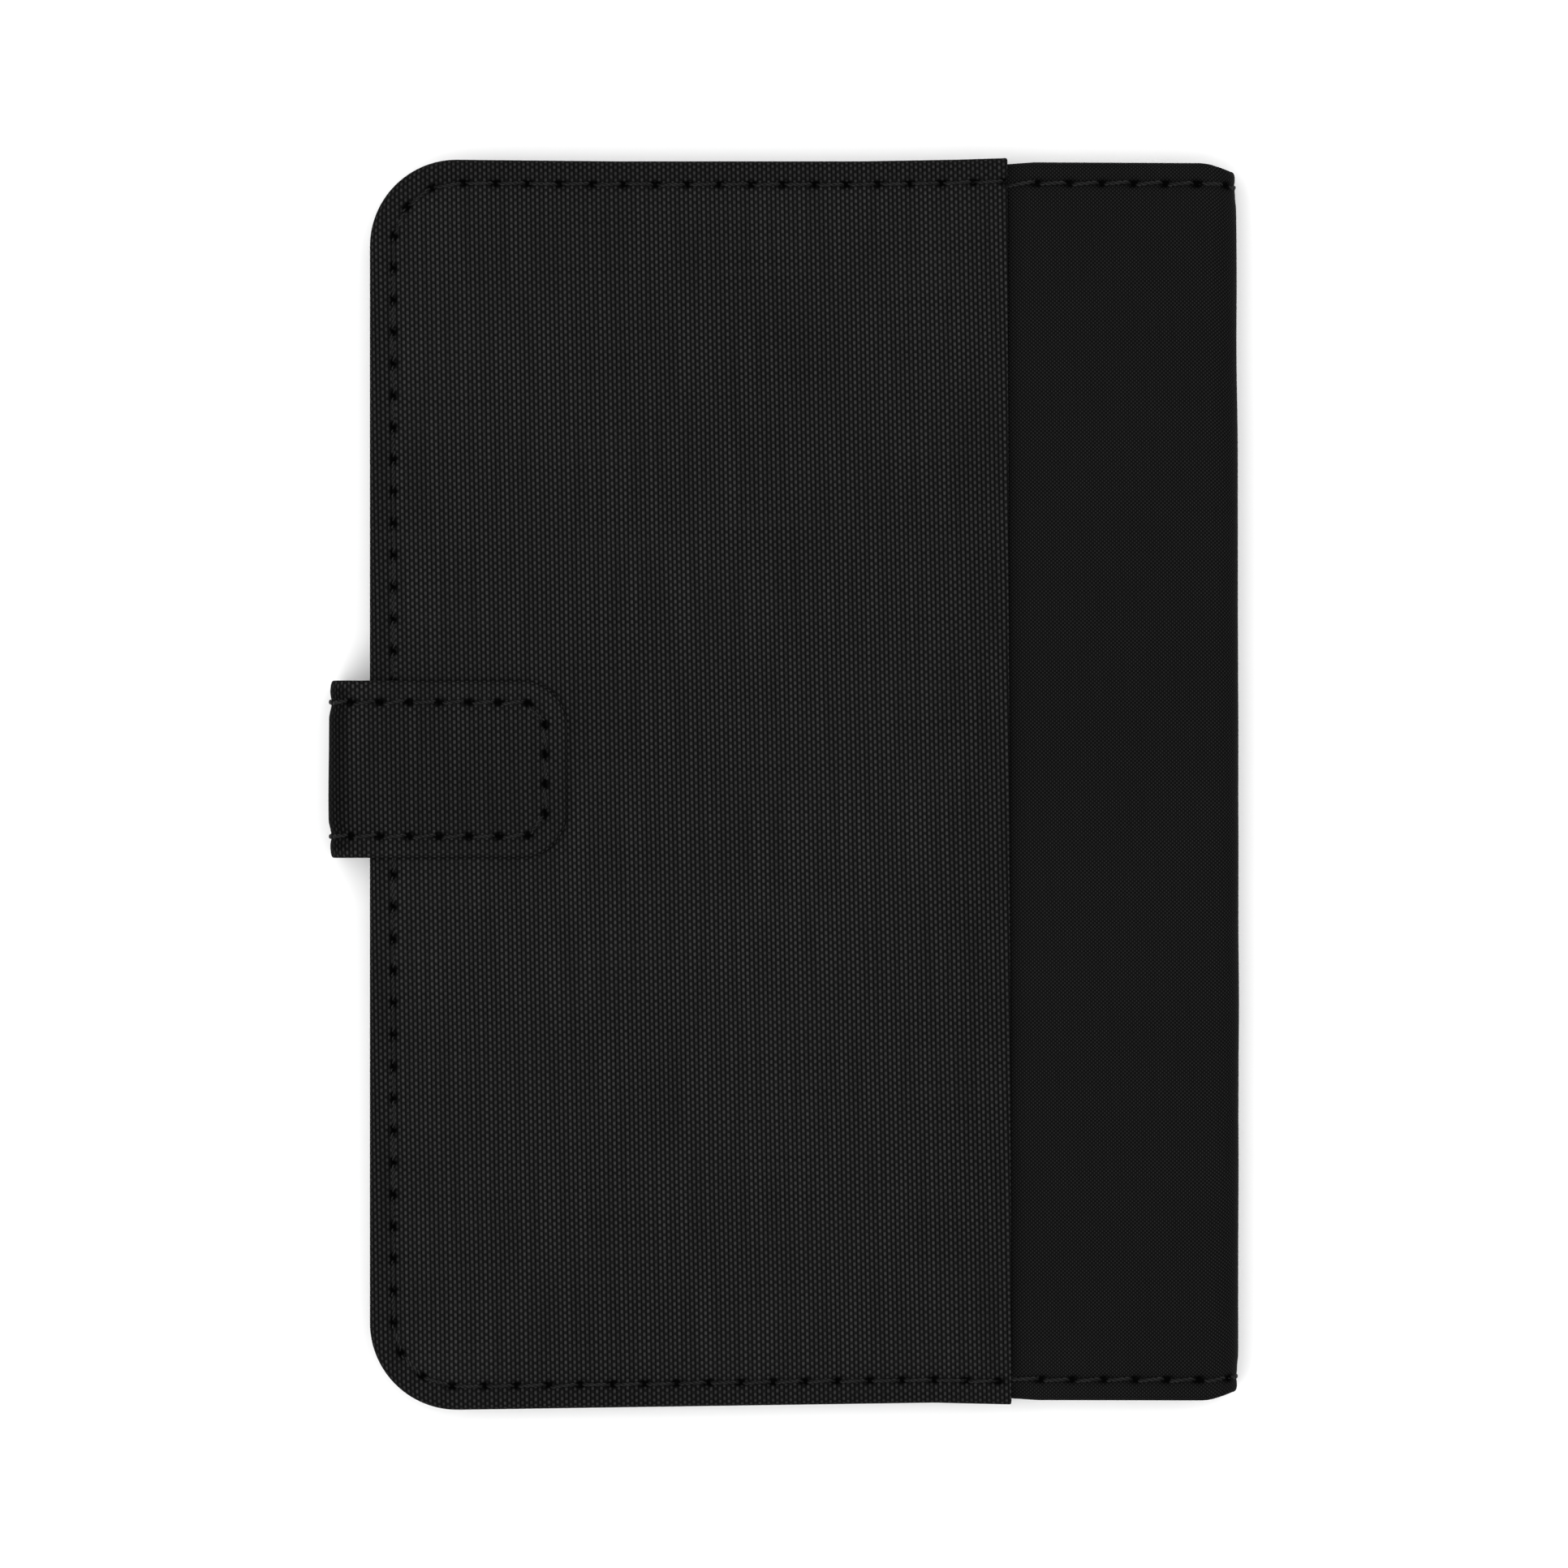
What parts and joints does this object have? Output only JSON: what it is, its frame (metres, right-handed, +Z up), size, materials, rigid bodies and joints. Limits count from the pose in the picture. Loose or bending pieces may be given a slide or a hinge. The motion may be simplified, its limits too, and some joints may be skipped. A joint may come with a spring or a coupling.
{
  "type": "passport holder wallet",
  "caption": "Folding woven-fabric passport wallet with a smooth spine wrap, a sleeve and card pockets inside, and a strap tab that closes over the fore edge.",
  "frame": {"origin": "under the middle of the closed wallet's bounding box, on the surface that the back cover lies on", "axes": "+X from the fore edge with the closure tab to the spine, +Y to the wallet's top edge, +Z up through the closed wallet"},
  "size_m": [0.1046, 0.144, 0.0153],
  "materials": {
    "woven_fabric": "plain-weave polyester, neutral black",
    "smooth_fabric": "fine plain-weave polyester, neutral black, slight sheen",
    "lining": "thin twill lining, black",
    "thread": "twisted polyester thread, black",
    "foam": "thin closed-cell foam sheet",
    "board": "pressed grey board",
    "steel": "zinc-plated steel disc",
    "magnet": "nickel-plated thin magnet"
  },
  "bodies": {
    "back_cover": {"back_fabric_panel": "woven_fabric", "back_spine_wrap": "smooth_fabric", "back_foam_pad": "foam", "back_board": "board", "back_lining": "lining", "back_seam_thread": "thread", "passport_sleeve": "lining", "tab_tail": "woven_fabric"},
    "spine": {"spine_wrap": "smooth_fabric", "spine_lining": "lining"},
    "front_cover": {"front_fabric_panel": "woven_fabric", "front_spine_wrap": "smooth_fabric", "front_foam_pad": "foam", "closure_plate": "steel", "front_board": "board", "front_lining": "lining", "front_seam_thread": "thread", "slip_pocket": "lining", "card_pocket_1": "lining", "card_pocket_2": "lining", "card_pocket_3": "lining"},
    "tab_bridge": {"tab_bridge_outer": "woven_fabric", "tab_bridge_inner": "woven_fabric"},
    "tab_flap": {"tab_flap_outer": "woven_fabric", "tab_flap_inner": "woven_fabric", "tab_stiffener": "board", "tab_magnet": "magnet", "tab_seam_thread": "thread"}
  },
  "joints": [
    {"name": "spine_fold", "type": "hinge", "parent": "back_cover", "child": "spine", "pos_m": [0.05235, 0, 0.00365], "axis": [0, 1, 0], "range_deg": [0, 90]},
    {"name": "cover_fold", "type": "hinge", "parent": "spine", "child": "front_cover", "pos_m": [0.05235, 0, 0.00925], "axis": [0, 1, 0], "range_deg": [0, 90]},
    {"name": "strap_root_bend", "type": "hinge", "parent": "back_cover", "child": "tab_bridge", "pos_m": [-0.05235, 0, 0.00345], "axis": [0, -1, 0], "range_deg": [0, 90]},
    {"name": "tab_lift", "type": "hinge", "parent": "tab_bridge", "child": "tab_flap", "pos_m": [-0.05235, 0, 0.01215], "axis": [0, -1, 0], "range_deg": [0, 90]}
  ],
  "couplings": [
    {"joint": "spine_fold", "follows": "cover_fold", "ratio": 1}
  ]
}
